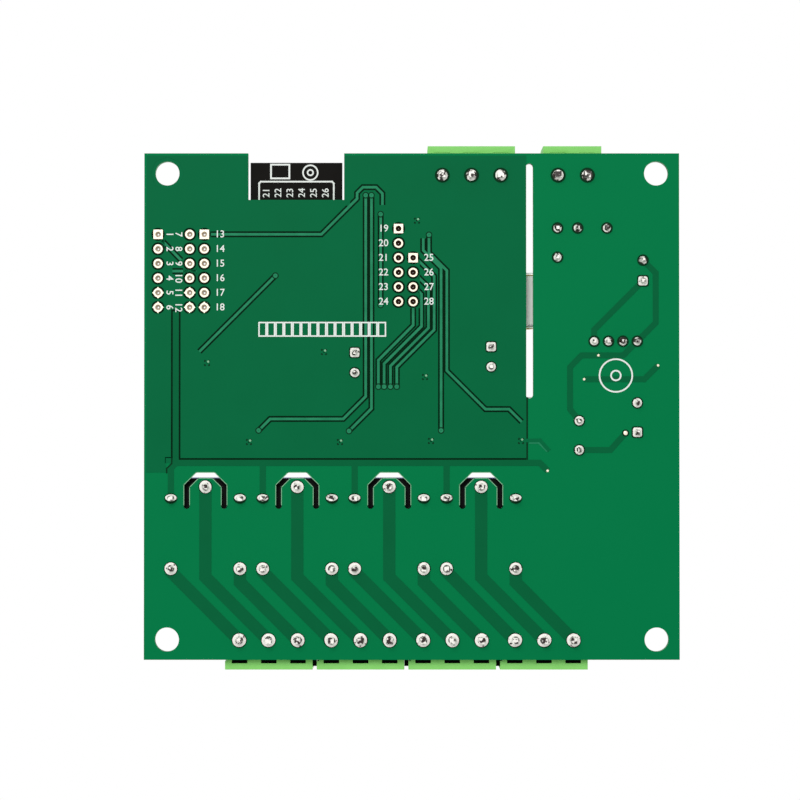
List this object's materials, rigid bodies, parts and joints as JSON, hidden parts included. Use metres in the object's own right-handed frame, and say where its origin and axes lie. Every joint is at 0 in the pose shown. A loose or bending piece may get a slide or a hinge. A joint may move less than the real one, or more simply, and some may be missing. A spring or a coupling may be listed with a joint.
{
  "type": "relay module board",
  "caption": "Green circuit board with a row of sealed relays, screw terminal blocks on two edges, a wireless module over a notch and an isolated mains supply.",
  "frame": {"origin": "centre of the four mounting holes, on the solder side of the board", "axes": "+Z out of the component side, +Y to the edge with the supply terminals, +X to the edge beside the six-pin serial header"},
  "size_m": [0.093, 0.0912, 0.0196],
  "materials": {
    "solder_mask": "glossy green solder mask on glass laminate",
    "masked_copper": "green solder mask over copper, a shade darker",
    "tinned_pads": "tinned copper",
    "solder": "shiny tin solder",
    "lead_metal": "tinned leads",
    "relay_case": "moulded blue case",
    "terminal_green": "moulded light green",
    "clamp_metal": "nickel-plated",
    "screw_metal": "zinc-plated",
    "module_mask": "black solder mask",
    "shield_metal": "nickel silver sheet",
    "capacitor_sleeve": "shrunk dark sleeve",
    "fuse_case": "moulded black",
    "varistor_coat": "blue epoxy coat",
    "chip_black": "moulded black epoxy",
    "choke_sleeve": "shrunk black sleeve",
    "bobbin_plastic": "moulded white",
    "winding_tape": "yellow polyester tape",
    "ferrite": "sintered ferrite",
    "inductor_grey": "pressed powder",
    "switch_case": "moulded black",
    "switch_plunger": "moulded off-white",
    "chip_ceramic": "tan ceramic",
    "led_lens": "clear epoxy"
  },
  "bodies": {
    "board": {"circuit_board": "solder_mask", "bare_pads": "tinned_pads", "contact_traces": "masked_copper", "supply_traces": "masked_copper", "signal_traces": "masked_copper", "ground_pour": "masked_copper", "solder_joints": "solder", "terminal_pins": "lead_metal", "lead_tips": "lead_metal", "relay_1": "relay_case", "relay_2": "relay_case", "relay_3": "relay_case", "relay_4": "relay_case", "output_terminal_1": "terminal_green", "output_terminal_2": "terminal_green", "output_terminal_3": "terminal_green", "output_terminal_4": "terminal_green", "dc_terminal": "terminal_green", "mains_terminal": "terminal_green", "terminal_clamps": "clamp_metal", "terminal_screws": "screw_metal", "module_board": "module_mask", "shield_can": "shield_metal", "low_voltage_capacitor_1": "capacitor_sleeve", "low_voltage_capacitor_2": "capacitor_sleeve", "input_capacitor": "capacitor_sleeve", "bulk_capacitor": "capacitor_sleeve", "fuse": "fuse_case", "varistor": "varistor_coat", "bridge_rectifier": "chip_black", "standing_leads": "lead_metal", "filter_choke": "choke_sleeve", "transformer_bobbin": "bobbin_plastic", "transformer_winding": "winding_tape", "transformer_core": "ferrite", "transformer_pins": "lead_metal", "reset_switch": "switch_case", "user_switch": "switch_case", "optocoupler": "chip_black", "converter_chip": "chip_black", "buck_chip": "chip_black", "regulator": "chip_black", "power_inductor": "inductor_grey", "driver_transistors": "chip_black", "diodes": "chip_black", "leds": "led_lens", "chip_resistors": "chip_black", "chip_capacitors": "chip_ceramic", "chip_leads": "lead_metal"},
    "reset_button": {"reset_plunger": "switch_plunger"},
    "user_button": {"user_plunger": "switch_plunger"}
  },
  "joints": [
    {"name": "reset_button_press", "type": "slide", "parent": "board", "child": "reset_button", "axis": [0, 0, -1], "range_m": [0, 0.00025], "stiffness_N_per_m": 2000},
    {"name": "user_button_press", "type": "slide", "parent": "board", "child": "user_button", "axis": [0, 0, -1], "range_m": [0, 0.00025], "stiffness_N_per_m": 2000}
  ]
}
